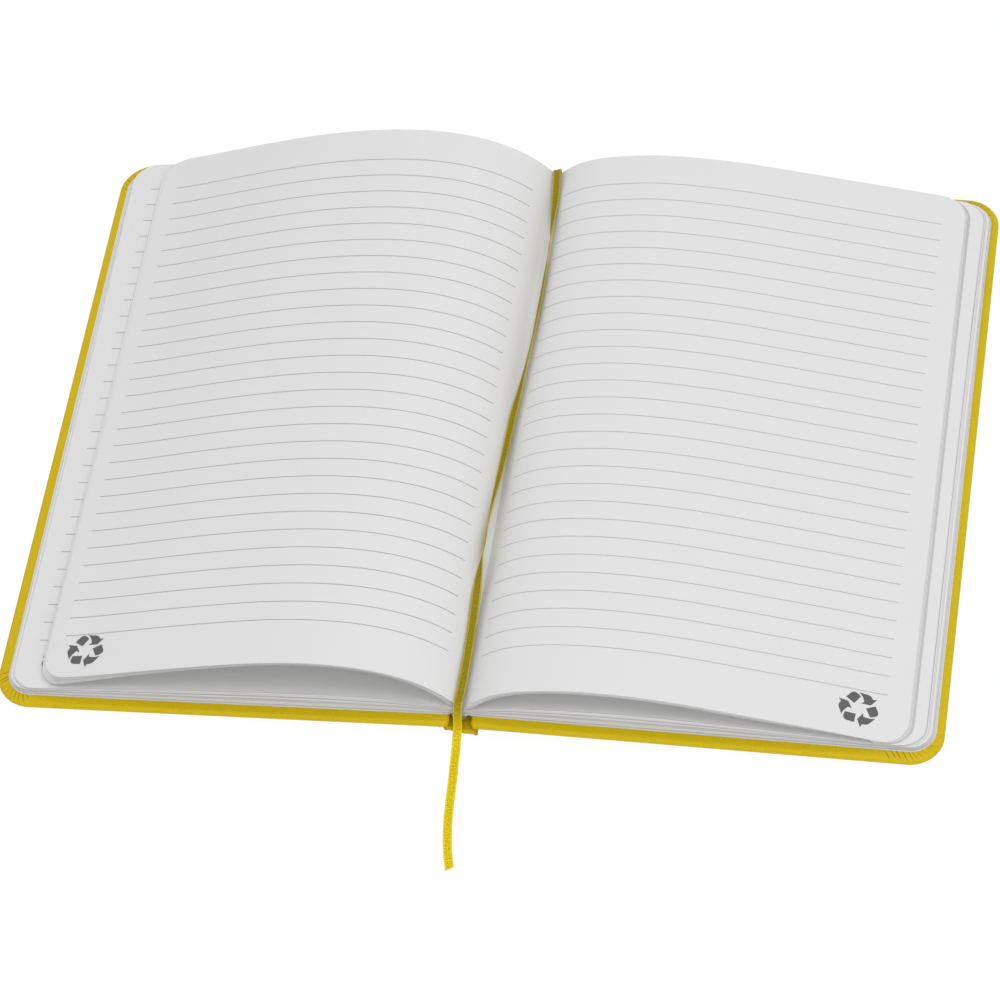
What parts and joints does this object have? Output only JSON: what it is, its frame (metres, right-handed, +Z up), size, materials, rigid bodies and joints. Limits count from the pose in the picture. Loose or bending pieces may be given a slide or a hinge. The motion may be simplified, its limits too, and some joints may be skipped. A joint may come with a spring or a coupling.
{
  "type": "notebook",
  "caption": "Hardcover ruled notebook lying open at the middle, in yellow leatherette with rounded corners, arched leaves and a satin ribbon marker.",
  "frame": {"origin": "on the table under the middle of the open notebook, at the middle of the spine's length", "axes": "+X towards the fore-edge of the back cover, +Y towards the head of the pages, +Z up"},
  "size_m": [0.2766, 0.2551, 0.0265],
  "materials": {
    "board": "matte",
    "leatherette": "satin",
    "endpaper": "matte",
    "lining": "matte",
    "page_paper": "matte",
    "ribbon": "satin"
  },
  "bodies": {
    "block": {"text_block": "page_paper", "front_flyleaf": "endpaper", "back_flyleaf": "endpaper", "spine_lining": "lining", "spine_card": "board", "spine_leatherette": "leatherette", "ribbon": "ribbon"},
    "front_cover": {"front_board": "board", "front_leatherette": "leatherette", "front_pastedown": "endpaper"},
    "back_cover": {"back_board": "board", "back_leatherette": "leatherette", "back_pastedown": "endpaper"}
  },
  "joints": [
    {"name": "front_hinge", "type": "hinge", "parent": "block", "child": "front_cover", "pos_m": [-0.0045, 0, 0.0036], "axis": [0, -1, 0], "range_deg": [0, 90]},
    {"name": "back_hinge", "type": "hinge", "parent": "block", "child": "back_cover", "pos_m": [0.0045, 0, 0.0036], "axis": [0, 1, 0], "range_deg": [0, 90]}
  ]
}
